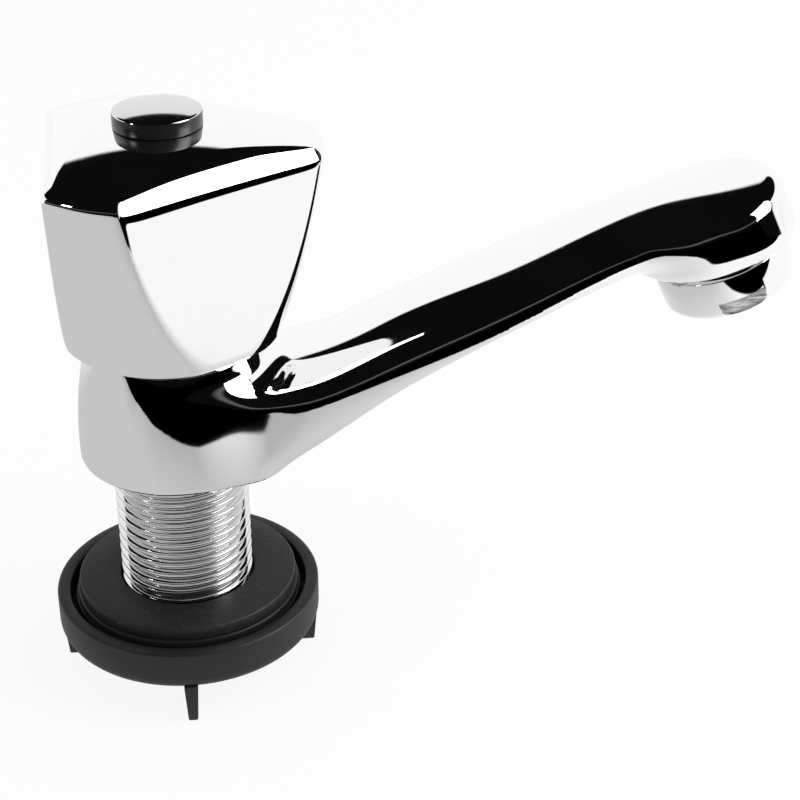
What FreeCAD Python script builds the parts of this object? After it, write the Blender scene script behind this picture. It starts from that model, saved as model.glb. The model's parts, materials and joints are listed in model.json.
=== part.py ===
import FreeCAD, Part
import os
import re
import Sketcher

# Basin pillar tap with a three-sided handle, a rising spout and a threaded tail.
# Millimetres. Origin at the centre of the base face, +Z up, spout along +X.

doc = FreeCAD.newDocument("basin_tap")
sheet = doc.addObject("Spreadsheet::Sheet", "sizes")

# Driving dimensions. Heights are above the base face unless they say otherwise.
sizes = {
    # Tail: half-inch parallel pipe thread
    "tail_radius": 10.478,
    "thread_depth": 1.162,
    "thread_pitch": 1.814,
    "thread_crest": 0.3,
    "thread_foot": 1.63,
    "thread_bite": 0.05,
    "tail_length": 36.5,
    "tail_collar": 1.4,
    "tail_bore": 6.6,
    "tail_chamfer": 1.0,
    "tail_recess": 0.6,
    "neck_radius": 8.4,
    "seat_bore": 5.5,
    "seat_lip": 7.2,
    "seat_height": 8.0,
    "seat_land": 0.8,
    "seat_shoulder": 1.2,
    "seal_section": 0.72,
    # Body casting
    "base_radius": 15.35,
    "base_edge": 0.6,
    "barrel_bulge": 62.0,
    "body_height": 19.4,
    "collar_radius": 13.0,
    "floor_thickness": 4.0,
    # Spout casting: oval sections along a straight axis in the XZ plane,
    # each with its half width, its rise above the axis and its drop below it
    "spout_foot": 1.0,
    "spout_angle": 24.9,
    "root_station": -2.0,
    "root_half_width": 15.1,
    "root_rise": 10.0,
    "root_drop": 8.0,
    "flank_station": 7.0,
    "flank_sink": 3.2,
    "flank_half_width": 16.75,
    "flank_rise": 10.0,
    "flank_drop": 8.0,
    "shoulder_station": 21.0,
    "shoulder_half_width": 13.6,
    "shoulder_rise": 5.0,
    "shoulder_drop": 8.9,
    "arm_station": 32.0,
    "arm_half_width": 12.4,
    "arm_rise": 5.85,
    "arm_drop": 6.1,
    "middle_station": 48.0,
    "middle_half_width": 11.2,
    "middle_rise": 5.8,
    "middle_drop": 4.85,
    "neck_station": 66.0,
    "neck_half_width": 10.5,
    "neck_rise": 4.5,
    "neck_drop": 3.95,
    "nose_inset": 4.0,
    "nose_sink": 1.7,
    "nose_half_width": 11.0,
    "nose_rise": 2.6,
    "nose_drop": 1.9,
    "side_share": 0.62,
    "waterway_half_width": 6.0,
    "waterway_half_height": 2.0,
    "waterway_side": 2.2,
    "waterway_start": 8.0,
    "waterway_height": 5.7,
    "waterway_angle": 23.6,
    "waterway_inset": 9.0,
    # Outlet at the spout's tip, below the spout's axis, with its own tilted axis
    "outlet_reach": 83.5,
    "outlet_drop": 10.06,
    "outlet_tilt": 21.3,
    "tip_radius": 12.3,
    "tip_height": 9.7,
    "tip_crown": 1.0,
    "tip_lower_edge": 1.6,
    "tip_upper_edge": 2.0,
    "outlet_bore_depth": 6.8,
    "outlet_throat": 7.0,
    "outlet_throat_depth": 8.2,
    # Headwork: the cartridge that holds the spindle and the valve. Its upper end is
    # measured down from the handle's hub.
    "headwork_thread": 10.38,
    "headwork_foot": 13.8,
    "headwork_washer_radius": 12.6,
    "headwork_washer_thickness": 0.6,
    "hex_flats": 22.0,
    "hex_height": 5.6,
    "sleeve_radius": 8.2,
    "gland_radius": 6.6,
    "gland_height": 5.0,
    "hub_gap": 1.6,
    "skirt_bore": 8.7,
    "skirt_bore_top": 18.6,
    # Valve
    "valve_lift": 4.5,
    "seat_gap": 0.05,
    "seat_washer_radius": 8.0,
    "seat_washer_thickness": 3.5,
    "carrier_flats": 12.0,
    "carrier_flange": 8.2,
    "carrier_flange_thickness": 2.0,
    "carrier_play": 0.5,
    "carrier_floor": 1.05,
    "stud_radius": 1.9,
    "stud_proud": 0.2,
    "washer_nut_flats": 7.0,
    "washer_nut_height": 2.4,
    # Spindle
    "spindle_screw": 3.5,
    "spindle_shank": 4.6,
    "spindle_collar": 5.9,
    "spindle_collar_height": 2.0,
    "shank_length": 6.9,
    "spindle_end_gap": 0.4,
    "spindle_square": 6.4,
    "ring_section": 0.7,
    "ring_depth": 2.2,
    "ring_spacing": 2.4,
    "clip_thickness": 0.8,
    "clip_radius": 6.0,
    "clip_groove": 3.9,
    "clip_mouth": 5.2,
    "screw_hole_depth": 8.7,
    # Handle: a flared round form cut by three steep faces
    "handle_gap": 1.0,
    "handle_foot_radius": 15.8,
    "handle_foot_edge": 0.8,
    "handle_rim_height": 49.8,
    "handle_rim_radius": 24.0,
    "handle_flare": 260.0,
    "handle_crown": 3.3,
    "facet_foot": 15.4,
    "facet_rim": 15.9,
    "facet_roll": 1.6,
    "handle_wall": 1.8,
    "handle_turn": 1.5,
    "hub_radius": 7.6,
    "socket_depth": 7.0,
    "web_thickness": 2.9,
    "recess_depth": 2.6,
    "insert_flats": 11.4,
    "recess_radius": 5.7,
    # Handle screw and index button
    "screw_radius": 1.9,
    "screw_length": 10.3,
    "screw_head_radius": 3.4,
    "screw_head_height": 1.7,
    "screw_socket": 2.5,
    "screw_socket_floor": 0.6,
    "button_radius": 6.6,
    "button_sink": 0.15,
    "button_side": 1.9,
    "button_dome": 1.4,
    "button_roof": 1.1,
    "button_skirt_length": 2.0,
    "button_wall": 0.8,
    # Aerator: heights along its own axis, from the outlet plane
    "aerator_radius": 10.4,
    "aerator_foot_radius": 10.1,
    "aerator_height": 7.2,
    "aerator_edge": 1.3,
    "aerator_gap": 0.5,
    "aerator_thread": 9.4,
    "aerator_bore": 8.2,
    "aerator_lip": 7.4,
    "aerator_lip_height": 1.2,
    "aerator_flats": 19.0,
    "aerator_flat_height": 2.9,
    "aerator_washer_thickness": 1.4,
    "aerator_washer_bore": 7.2,
    "plate_thickness": 1.2,
    "plate_wall": 0.9,
    "jet_radius": 0.6,
    "jet_circle": 5.2,
    "inner_jet_circle": 2.6,
    "screen_thickness": 0.3,
    "screen_spacing": 0.9,
    "screen_hole": 0.5,
    "screen_ring": 1.6,
    # Gasket, slip washer and backnut below the deck
    "gasket_top": 22.4,
    "gasket_radius": 17.4,
    "gasket_thickness": 2.3,
    "gasket_fall": 0.3,
    "slip_radius": 17.8,
    "slip_thickness": 1.2,
    "cup_radius": 21.1,
    "cup_inner": 19.0,
    "cup_edge": 2.4,
    "cup_rim": 24.8,
    "cup_bottom": 31.8,
    "cup_groove": 2.6,
    "nut_hub": 13.2,
    "hub_end": 35.0,
    "nut_bottom": 38.2,
    "fin_root": 2.2,
    "fin_end": 1.5,
    "fin_reach": 19.2,
    "fin_lean": 0.6,
    "fin_bite": 0.5,
    "nut_turn": -1.0,
    # Clearances
    "thread_clearance": 0.08,
    "running_clearance": 0.05,
    "slide_clearance": 0.1,
    "loose_clearance": 0.3,
    # How far a cut runs past the face that it leaves
    "cut_past": 1.0,
}

for row, (alias, value) in enumerate(sizes.items(), start=1):
    sheet.set("A%d" % row, alias)
    sheet.set("B%d" % row, str(value))
    sheet.setAlias("B%d" % row, alias)
doc.recompute()


# How near two heights are to count as one
tolerance = 0.01


def bound(text):
    """Point each size named in an expression to its cell."""
    return re.sub(r"[a-z][a-z_]*", lambda word: "sizes." + word.group(0)
                  if word.group(0) in sizes else word.group(0), text)


def number(text):
    return float(sheet.evalExpression(text))


def origin_plane(body, role):
    return [item for item in body.Origin.OriginFeatures if item.Role == role][0]


def new_body(label):
    body = doc.addObject("PartDesign::Body", label)
    body.Label = label
    return body


def new_sketch(body, name, role="XZ_Plane", offset=None, turn=None):
    """A sketch on one of the body's own planes, moved along or turned about its axes."""
    sketch = body.newObject("Sketcher::SketchObject", name)
    sketch.AttachmentSupport = [(origin_plane(body, role), "")]
    sketch.MapMode = "FlatFace"
    for axis, text in (offset or {}).items():
        sketch.setExpression("AttachmentOffset.Base." + axis, bound(text))
    if turn:
        sketch.setExpression("AttachmentOffset.Rotation.Angle", bound(turn))
    return sketch


def fix_point(sketch, curve, end, place):
    """Tie a curve's end to its two coordinates."""
    for kind, text in zip(("DistanceX", "DistanceY"), place):
        index = sketch.addConstraint(Sketcher.Constraint(kind, -1, 1, curve, end, number(text)))
        sketch.setExpression("Constraints[%d]" % index, bound(text))


def fix_radius(sketch, curve, text):
    index = sketch.addConstraint(Sketcher.Constraint("Radius", curve, number(text)))
    sketch.setExpression("Constraints[%d]" % index, bound(text))


def arc_between(start, end, radius):
    """The short arc from start to end; a positive radius bulges to the right of the way."""
    chord = end - start
    half = chord.Length / 2
    reach = (radius * radius - half * half) ** 0.5
    side = FreeCAD.Vector(chord.y, -chord.x, 0).normalize()
    bulge = 1 if radius > 0 else -1
    centre = start + chord / 2 - side * (reach * bulge)
    middle = centre + side * (abs(radius) * bulge)
    return Part.Arc(start, middle, end)


def outline(sketch, points, arcs=None):
    """A closed outline through points; arcs gives the radius of the side after a point."""
    arcs = arcs or {}
    places = [FreeCAD.Vector(number(x), number(y), 0) for x, y in points]
    count = len(points)
    for index in range(count):
        start, end = places[index], places[(index + 1) % count]
        if index in arcs:
            sketch.addGeometry(arc_between(start, end, number(arcs[index])), False)
        else:
            sketch.addGeometry(Part.LineSegment(start, end), False)
    # A bulge to the right of the way runs anticlockwise, so its arc keeps its ends;
    # the other kind comes back from Part.Arc with start and end exchanged.
    first = {}
    last = {}
    for index in range(count):
        swapped = index in arcs and number(arcs[index]) < 0
        first[index] = 2 if swapped else 1
        last[index] = 1 if swapped else 2
    for index in range(count):
        following = (index + 1) % count
        sketch.addConstraint(Sketcher.Constraint("Coincident", index, last[index], following, first[following]))
        fix_point(sketch, index, first[index], points[index])
    for index, text in arcs.items():
        fix_radius(sketch, index, "abs(%s)" % text)
    return sketch


def revolve(body, sketch, cut=False):
    kind = "PartDesign::Groove" if cut else "PartDesign::Revolution"
    feature = body.newObject(kind, sketch.Name + "_turned")
    feature.Profile = sketch
    feature.ReferenceAxis = (sketch, ["V_Axis"])
    feature.Angle = 360
    sketch.Visibility = False
    return feature


def turned(label, points, arcs=None):
    """A body turned about Z from its outline of radius and height."""
    body = new_body(label)
    revolve(body, outline(new_sketch(body, label + "_outline"), points, arcs))
    return body


def prism(body, name, flats, bottom, height, cut=False, sides=6):
    """A hexagon, or a square, of a width across its flats, standing on Z."""
    kind = "PartDesign::SubtractivePrism" if cut else "PartDesign::AdditivePrism"
    feature = body.newObject(kind, name)
    feature.Polygon = sides
    feature.setExpression("Circumradius", bound("(%s) / 2 / cos(%d)" % (flats, 180 / sides)))
    feature.setExpression("Height", bound(height))
    feature.AttachmentSupport = [(origin_plane(body, "XY_Plane"), "")]
    feature.MapMode = "FlatFace"
    feature.setExpression("AttachmentOffset.Base.z", bound(bottom))
    return feature


def cylinder(body, name, radius, bottom, height, cut=True, across=None):
    """A round hole or boss along Z, at the place that across gives."""
    kind = "PartDesign::SubtractiveCylinder" if cut else "PartDesign::AdditiveCylinder"
    feature = body.newObject(kind, name)
    feature.setExpression("Radius", bound(radius))
    feature.setExpression("Height", bound(height))
    feature.AttachmentSupport = [(origin_plane(body, "XY_Plane"), "")]
    feature.MapMode = "FlatFace"
    feature.setExpression("AttachmentOffset.Base.z", bound(bottom))
    for axis, text in (across or {}).items():
        feature.setExpression("AttachmentOffset.Base." + axis, bound(text))
    return feature


def around(body, feature, copies):
    """Repeat a feature evenly about Z."""
    pattern = body.newObject("PartDesign::PolarPattern", feature.Name + "_pattern")
    pattern.Originals = [feature]
    pattern.Axis = (origin_plane_axis(body), [""])
    pattern.Angle = 360
    pattern.Occurrences = copies
    body.Tip = pattern
    return pattern


def origin_plane_axis(body):
    return [item for item in body.Origin.OriginFeatures if item.Role == "Z_Axis"][0]


def at_outlet(body):
    """Stand a piece of the outlet on the spout's tilted outlet plane."""
    body.Placement = FreeCAD.Placement(FreeCAD.Vector(), FreeCAD.Rotation(FreeCAD.Vector(0, 1, 0), 1))
    body.setExpression("Placement.Base.x", bound("outlet_reach"))
    body.setExpression("Placement.Base.z", bound(outlet_height))
    body.setExpression("Placement.Rotation.Angle", bound("-outlet_tilt"))


def turned_about_z(item, text):
    item.Placement = FreeCAD.Placement(FreeCAD.Vector(), FreeCAD.Rotation(FreeCAD.Vector(0, 0, 1), 1))
    item.setExpression("Placement.Rotation.Angle", bound(text))


def dome_radius(reach, rise):
    """The radius of a dome that is level at its top."""
    return "((%s)^2 + (%s)^2) / (2 * (%s))" % (reach, rise, rise)


def tail():
    """The threaded tail: its top end is the valve seat."""
    root = "tail_radius - thread_depth"
    body = turned("threaded_tail", [
        ("tail_bore", "-tail_length"),
        (root + " - tail_chamfer", "-tail_length"),
        (root, "-tail_length + tail_chamfer"),
        (root, "-tail_collar"),
        ("tail_radius", "-tail_collar"),
        ("tail_radius", "tail_recess"),
        ("neck_radius", "tail_recess"),
        ("neck_radius", "floor_thickness"),
        ("seat_lip", "floor_thickness"),
        ("seat_lip", "seat_height - seat_shoulder"),
        ("seat_bore + seat_land", "seat_height"),
        ("seat_bore", "seat_height"),
        ("seat_bore", "0"),
        ("tail_bore", "-tail_chamfer"),
    ])
    tooth = new_sketch(body, "tooth_outline")
    middle = "(-tail_length + tail_chamfer + thread_pitch / 2)"
    inside = root + " - thread_bite"
    outline(tooth, [
        (inside, middle + " - thread_foot / 2"),
        ("tail_radius", middle + " - thread_crest / 2"),
        ("tail_radius", middle + " + thread_crest / 2"),
        (inside, middle + " + thread_foot / 2"),
    ])
    thread = body.newObject("PartDesign::AdditiveHelix", "thread")
    thread.Profile = tooth
    thread.ReferenceAxis = (tooth, ["V_Axis"])
    thread.Mode = "pitch-height-angle"
    thread.setExpression("Pitch", bound("thread_pitch"))
    thread.setExpression("Height", bound("tail_length - tail_chamfer - tail_collar - thread_pitch"))
    tooth.Visibility = False
    return body


def tail_seal():
    """The O-ring between the tail's shoulder and the body."""
    ring = doc.addObject("Part::Torus", "tail_seal")
    ring.setExpression("Radius1", bound("neck_radius + seal_section + running_clearance / 2"))
    ring.setExpression("Radius2", bound("seal_section"))
    ring.setExpression("Placement.Base.z", bound("tail_recess + seal_section + running_clearance / 2"))
    return ring


def oval(body, part, station, sink="0"):
    """An oval section of the spout: a broad arc above and below, joined by tight side arcs."""
    level = "spout_foot + (%s) * tan(spout_angle) - %s" % (station, sink)
    half_width, rise, drop = part + "_half_width", part + "_rise", part + "_drop"
    side = "(%s + %s) / 2 * side_share" % (rise, drop)
    run = "(%s - %s)" % (half_width, side)
    broad = "(%s^2 + %s^2 - (%s)^2) / (2 * (%s - %s))"
    crown = broad % (run, rise, side, rise, side)
    belly = broad % (run, drop, side, drop, side)
    sketch = new_sketch(body, part + "_section", "YZ_Plane", {"z": station})
    turn, reach, height = number(side), number(run), number(level)
    corners = []
    for radius, way in ((number(crown), 1), (number(belly), -1)):
        lift = number(rise) if way > 0 else number(drop)
        slope = FreeCAD.Vector(reach, way * (radius - lift), 0).normalize()
        corners.append(FreeCAD.Vector(reach, height, 0) + slope * turn)
    upper, lower = corners
    places = [upper, FreeCAD.Vector(-upper.x, upper.y, 0), FreeCAD.Vector(-lower.x, lower.y, 0), lower]
    middles = [FreeCAD.Vector(0, height + number(rise), 0), FreeCAD.Vector(-number(half_width), height, 0),
               FreeCAD.Vector(0, height - number(drop), 0), FreeCAD.Vector(number(half_width), height, 0)]
    for index in range(4):
        sketch.addGeometry(Part.Arc(places[index], middles[index], places[(index + 1) % 4]), False)
    for index in range(4):
        sketch.addConstraint(Sketcher.Constraint("Tangent", index, 2, (index + 1) % 4, 1))
    fix_point(sketch, 1, 3, ("-" + run, level))
    fix_point(sketch, 3, 3, (run, level))
    for curve, text in ((0, crown), (1, side), (2, belly), (3, side)):
        fix_radius(sketch, curve, text)
    return sketch


def waterway(body):
    """The passage along the spout, from the chamber to the outlet bore."""
    sketch = new_sketch(body, "waterway_outline", "YZ_Plane", {"y": "waterway_height", "z": "waterway_start"})
    offset = sketch.AttachmentOffset
    offset.Rotation = FreeCAD.Rotation(FreeCAD.Vector(1, 0, 0), -1)
    sketch.AttachmentOffset = offset
    sketch.setExpression("AttachmentOffset.Rotation.Angle", bound("-waterway_angle"))
    side = "(waterway_half_width - waterway_half_height)"
    outline(sketch, [
        (side, "-waterway_half_height"),
        (side, "waterway_half_height"),
        ("-" + side, "waterway_half_height"),
        ("-" + side, "-waterway_half_height"),
    ], {0: "waterway_side", 2: "waterway_side"})
    cut = body.newObject("PartDesign::Pocket", "waterway")
    cut.Profile = sketch
    cut.Type = 0
    cut.Reversed = True
    cut.setExpression("Length", bound("(outlet_reach - waterway_inset - waterway_start) / cos(waterway_angle)"))


def tap_body():
    """The chromed casting: barrel and spout in one, with its chamber, waterway and outlet."""
    body = new_body("tap_body")
    barrel = new_sketch(body, "barrel_outline")
    outline(barrel, [("0", "0"), ("base_radius", "0"), ("collar_radius", "body_height"), ("0", "body_height")],
            {1: "barrel_bulge"})
    revolve(body, barrel)
    sections = [oval(body, "root", "root_station"), oval(body, "flank", "flank_station", "flank_sink")]
    sections += [oval(body, part, part + "_station") for part in ("shoulder", "arm", "middle", "neck")]
    sections.append(oval(body, "nose", "outlet_reach - nose_inset", "nose_sink"))
    spout = body.newObject("PartDesign::AdditiveLoft", "spout")
    spout.Profile = sections[0]
    spout.Sections = sections[1:]
    tip = new_sketch(body, "tip_outline", offset={"x": "outlet_reach", "y": outlet_height}, turn="outlet_tilt")
    shoulder = "(tip_height - tip_crown)"
    outline(tip, [
        ("0", "aerator_gap"),
        ("tip_radius - tip_lower_edge", "aerator_gap"),
        ("tip_radius", "aerator_gap + tip_lower_edge"),
        ("tip_radius", shoulder + " - tip_upper_edge"),
        ("tip_radius - tip_upper_edge", shoulder),
        ("0", "tip_height"),
    ], {1: "tip_lower_edge", 3: "tip_upper_edge", 4: dome_radius("(tip_radius - tip_upper_edge)", "tip_crown")})
    revolve(body, tip)
    under = new_sketch(body, "base_plane")
    outline(under, [("-base_radius", "0"), ("-base_radius", "-base_radius"), ("outlet_reach", "-base_radius"),
                    ("outlet_reach", "0")])
    trim = body.newObject("PartDesign::Pocket", "base_trim")
    trim.Profile = under
    trim.Midplane = True
    trim.Type = 0
    trim.setExpression("Length", bound("4 * base_radius"))
    doc.recompute()
    rim = [index for index, edge in enumerate(trim.Shape.Edges, start=1)
           if edge.BoundBox.ZMax < tolerance and edge.BoundBox.ZMin > -tolerance]
    edge = body.newObject("PartDesign::Fillet", "base_rounding")
    edge.Base = (trim, ["Edge%d" % index for index in rim])
    edge.setExpression("Radius", bound("base_edge"))
    doc.recompute()
    chamber = new_sketch(body, "chamber_outline")
    groove = "2 * seal_section + running_clearance"
    outline(chamber, [
        ("0", "-cut_past"),
        ("tail_radius + slide_clearance", "-cut_past"),
        ("tail_radius + slide_clearance", "tail_recess"),
        ("neck_radius + " + groove, "tail_recess"),
        ("neck_radius + " + groove, "tail_recess + " + groove),
        ("neck_radius + running_clearance", "tail_recess + " + groove),
        ("neck_radius + running_clearance", "floor_thickness"),
        ("headwork_thread + thread_clearance", "floor_thickness"),
        ("headwork_thread + thread_clearance", "body_height + cut_past"),
        ("0", "body_height + cut_past"),
    ])
    revolve(body, chamber, cut=True)
    outlet = new_sketch(body, "outlet_outline", offset={"x": "outlet_reach", "y": outlet_height}, turn="outlet_tilt")
    bore = "aerator_thread + thread_clearance"
    outline(outlet, [("0", "0"), (bore, "0"), (bore, "outlet_bore_depth"), ("outlet_throat", "outlet_bore_depth"),
                     ("outlet_throat", "outlet_throat_depth"), ("0", "outlet_throat_depth")])
    revolve(body, outlet, cut=True)
    waterway(body)
    return body


def headwork():
    """The brass cartridge: thread, hexagon, sleeve and gland, with a hexagonal guide inside."""
    seat = "body_height + headwork_washer_thickness"
    body = turned("headwork", [
        ("0", "headwork_foot"),
        ("headwork_thread", "headwork_foot"),
        ("headwork_thread", seat),
        ("sleeve_radius", seat),
        ("sleeve_radius", gland_top + " - gland_height"),
        ("gland_radius", gland_top + " - gland_height"),
        ("gland_radius", gland_top),
        ("0", gland_top),
    ])
    prism(body, "headwork_hexagon", "hex_flats", seat, "hex_height")
    bores = new_sketch(body, "headwork_bores")
    chamber = "(spindle_collar + 2 * slide_clearance)"
    shank = "(spindle_shank + running_clearance)"
    outline(bores, [
        ("0", "headwork_foot - cut_past"),
        ("skirt_bore", "headwork_foot - cut_past"),
        ("skirt_bore", "skirt_bore_top"),
        (chamber, "skirt_bore_top"),
        (chamber, collar_top + " + slide_clearance"),
        (shank, collar_top + " + slide_clearance"),
        (shank, gland_top + " + cut_past"),
        ("0", gland_top + " + cut_past"),
    ])
    revolve(body, bores, cut=True)
    prism(body, "guide", "carrier_flats + 2 * slide_clearance", "skirt_bore_top - cut_past",
          guide_top + " - skirt_bore_top + cut_past", cut=True)
    return body


def headwork_washer():
    return turned("headwork_washer", ring("headwork_thread + slide_clearance", "headwork_washer_radius",
                                          "body_height", "headwork_washer_thickness"))


def ring(bore, radius, bottom, height):
    """The outline of a flat ring."""
    top = bottom + " + " + height
    return [(bore, bottom), (radius, bottom), (radius, top), (bore, top)]


def spindle():
    """The spindle: screw, thrust collar, shank with its ring grooves and a square end."""
    wall = "spindle_shank"
    floor = ring_floor
    points = [("0", screw_end), ("spindle_screw", screw_end), ("spindle_screw", collar_foot),
              ("spindle_collar", collar_foot), ("spindle_collar", collar_top), (wall, collar_top)]
    for level in ring_levels:
        for side, radii in (("-", (wall, floor)), ("+", (floor, wall))):
            edge = "%s %s ring_section %s running_clearance" % (level, side, side)
            points += [(radius, edge) for radius in radii]
    clip = gland_top + " + slide_clearance"
    points += [
        (wall, clip),
        ("clip_groove", clip),
        ("clip_groove", clip + " + clip_thickness + slide_clearance"),
        (wall, clip + " + clip_thickness + slide_clearance"),
        (wall, hub_bottom),
        ("0", hub_bottom),
    ]
    body = turned("spindle", points)
    prism(body, "square", "spindle_square", hub_bottom, "socket_depth - spindle_end_gap", sides=4)
    cylinder(body, "screw_hole", "screw_radius + running_clearance", spindle_top + " - screw_hole_depth",
             "screw_hole_depth + cut_past")
    turned_about_z(body, "handle_turn")
    return body


def spindle_rings():
    """Two O-rings round the spindle, in one node."""
    rings = []
    for level in ring_levels:
        item = doc.addObject("Part::Torus", "spindle_ring")
        item.setExpression("Radius1", bound(ring_floor + " + running_clearance / 2 + ring_section"))
        item.setExpression("Radius2", bound("ring_section"))
        item.setExpression("Placement.Base.z", bound(level))
        rings.append(item)
    both = doc.addObject("Part::Compound", "spindle_rings")
    both.Links = rings
    return both


def spindle_clip():
    """The open retaining clip above the gland."""
    foot = gland_top + " + slide_clearance + slide_clearance / 2"
    body = turned("spindle_clip", ring("clip_groove + running_clearance", "clip_radius", foot, "clip_thickness"))
    mouth = new_sketch(body, "mouth_outline", "XY_Plane")
    outline(mouth, [("0", "-clip_mouth / 2"), ("clip_radius + cut_past", "-clip_mouth / 2"),
                    ("clip_radius + cut_past", "clip_mouth / 2"), ("0", "clip_mouth / 2")])
    cut = body.newObject("PartDesign::Pocket", "mouth")
    cut.Profile = mouth
    cut.Type = 1
    cut.Midplane = True
    return body


def valve_carrier():
    """The part that the spindle's screw lifts: a hexagonal barrel on a round flange."""
    body = turned("valve_carrier", [
        ("0", stud_end),
        ("stud_radius", stud_end),
        ("stud_radius", flange_foot),
        ("carrier_flange", flange_foot),
        ("carrier_flange", flange_foot + " + carrier_flange_thickness"),
        ("0", flange_foot + " + carrier_flange_thickness"),
    ])
    barrel = flange_foot + " + carrier_flange_thickness"
    top = guide_top + " - valve_lift - carrier_play"
    prism(body, "barrel", "carrier_flats", barrel, "%s - (%s)" % (top, barrel))
    floor = barrel + " + carrier_floor"
    cylinder(body, "screw_bore", "spindle_screw + slide_clearance", floor, "%s - (%s) + cut_past" % (top, floor))
    return body


def seat_washer():
    return turned("seat_washer", ring("stud_radius + slide_clearance", "seat_washer_radius",
                                      "seat_height + seat_gap", "seat_washer_thickness"))


def washer_nut():
    foot = "seat_height + seat_gap - washer_nut_height"
    body = new_body("washer_nut")
    prism(body, "hexagon", "washer_nut_flats", foot, "washer_nut_height")
    cylinder(body, "nut_bore", "stud_radius + running_clearance", foot + " - cut_past",
             "washer_nut_height + 2 * cut_past")
    return body


def handle_form(label, wall):
    """The handle's outer form, drawn in by a wall where it is the hollow inside."""
    body = new_body(label)
    profile = new_sketch(body, label + "_outline")
    bottom = handle_bottom if wall == "0" else handle_bottom + " - cut_past"
    outline(profile, [
        ("0", bottom),
        ("handle_foot_radius - handle_foot_edge - " + wall, bottom),
        ("handle_foot_radius - " + wall, handle_bottom + " + handle_foot_edge"),
        ("handle_rim_radius - " + wall, "handle_rim_height - " + wall),
        ("0", handle_apex + " - " + wall),
    ], {2: "handle_flare", 3: dome_radius("(handle_rim_radius - %s)" % wall, "handle_crown")})
    revolve(body, profile)
    lean = "(facet_rim - facet_foot) / (handle_rim_height - %s)" % handle_bottom
    foot = "facet_foot - %s - %s * cut_past" % (wall, lean)
    head = "facet_rim - %s + %s * (handle_crown + cut_past)" % (wall, lean)
    facet = new_sketch(body, label + "_facet")
    outline(facet, [
        ("-(%s)" % foot, handle_bottom + " - cut_past"),
        ("-(%s)" % head, handle_apex + " + cut_past"),
        ("-2 * handle_rim_radius", handle_apex + " + cut_past"),
        ("-2 * handle_rim_radius", handle_bottom + " - cut_past"),
    ])
    cut = body.newObject("PartDesign::Pocket", label + "_face")
    cut.Profile = facet
    cut.Midplane = True
    cut.Type = 0
    cut.setExpression("Length", bound("4 * handle_rim_radius"))
    doc.recompute()
    faces = around(body, cut, 3)
    if wall == "0":
        doc.recompute()
        rim = [index for index, edge in enumerate(faces.Shape.Edges, start=1)
               if edge.BoundBox.ZMin > number("handle_rim_height") - tolerance]
        roll = body.newObject("PartDesign::Fillet", "rim_roll")
        roll.Base = (faces, ["Edge%d" % index for index in rim])
        roll.setExpression("Radius", bound("facet_roll"))
    return body


def handle():
    """The hollow three-sided handle with its hub, hexagonal socket, screw web and button recess."""
    outer = handle_form("handle_outer_form", "0")
    inner = handle_form("handle_inner_form", "handle_wall")
    shell = doc.addObject("Part::Cut", "handle_shell")
    shell.Base, shell.Tool = outer, inner
    hub = round_bar("handle_hub", "hub_radius", hub_bottom,
                    "socket_depth + web_thickness + recess_depth - handle_wall / 2")
    solid = doc.addObject("Part::MultiFuse", "handle_solid")
    solid.Shapes = [shell, hub]
    socket = doc.addObject("Part::Prism", "insert_socket")
    socket.Polygon = 6
    socket.setExpression("Circumradius", bound("(insert_flats / 2 + running_clearance) / cos(30)"))
    socket.setExpression("Height", bound("socket_depth + cut_past"))
    socket.setExpression("Placement.Base.z", bound(hub_bottom + " - cut_past"))
    hole = round_bar("handle_screw_hole", "screw_radius + loose_clearance", web_top + " - web_thickness - cut_past",
                     "web_thickness + 2 * cut_past")
    recess = round_bar("button_recess", "recess_radius", web_top, "recess_depth + cut_past")
    cuts = doc.addObject("Part::MultiFuse", "handle_cuts")
    cuts.Shapes = [socket, hole, recess]
    whole = doc.addObject("Part::Cut", "handle")
    whole.Base, whole.Tool = solid, cuts
    turned_about_z(whole, "handle_turn")
    return whole


def round_bar(name, radius, bottom, height):
    bar = doc.addObject("Part::Cylinder", name)
    bar.setExpression("Radius", bound(radius))
    bar.setExpression("Height", bound(height))
    bar.setExpression("Placement.Base.z", bound(bottom))
    return bar


def handle_insert():
    """The plastic bush that carries the handle on the spindle's square."""
    body = new_body("handle_insert")
    length = "socket_depth - spindle_end_gap"
    prism(body, "outside", "insert_flats", hub_bottom, length)
    prism(body, "inside", "spindle_square + 2 * running_clearance", hub_bottom + " - cut_past",
          length + " + 2 * cut_past", cut=True, sides=4)
    turned_about_z(body, "handle_turn")
    return body


def handle_screw():
    body = turned("handle_screw", [
        ("0", web_top + " - screw_length"),
        ("screw_radius", web_top + " - screw_length"),
        ("screw_radius", web_top),
        ("screw_head_radius", web_top),
        ("screw_head_radius", web_top + " + screw_head_height"),
        ("0", web_top + " + screw_head_height"),
    ])
    prism(body, "socket", "screw_socket", web_top + " + screw_socket_floor", "screw_head_height", cut=True)
    return body


def index_button():
    """The domed cap over the handle screw."""
    seat = "(%s - button_sink)" % handle_apex
    rim = seat + " + button_side"
    skirt = "recess_radius - running_clearance"
    inside = skirt + " - button_wall"
    return turned("index_button", [
        ("0", seat + " + button_roof"),
        (inside, seat + " + button_roof"),
        (inside, seat + " - button_skirt_length"),
        (skirt, seat + " - button_skirt_length"),
        (skirt, seat),
        ("button_radius", seat),
        ("button_radius", rim),
        ("0", rim + " + button_dome"),
    ], {6: dome_radius("button_radius", "button_dome")})


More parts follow.
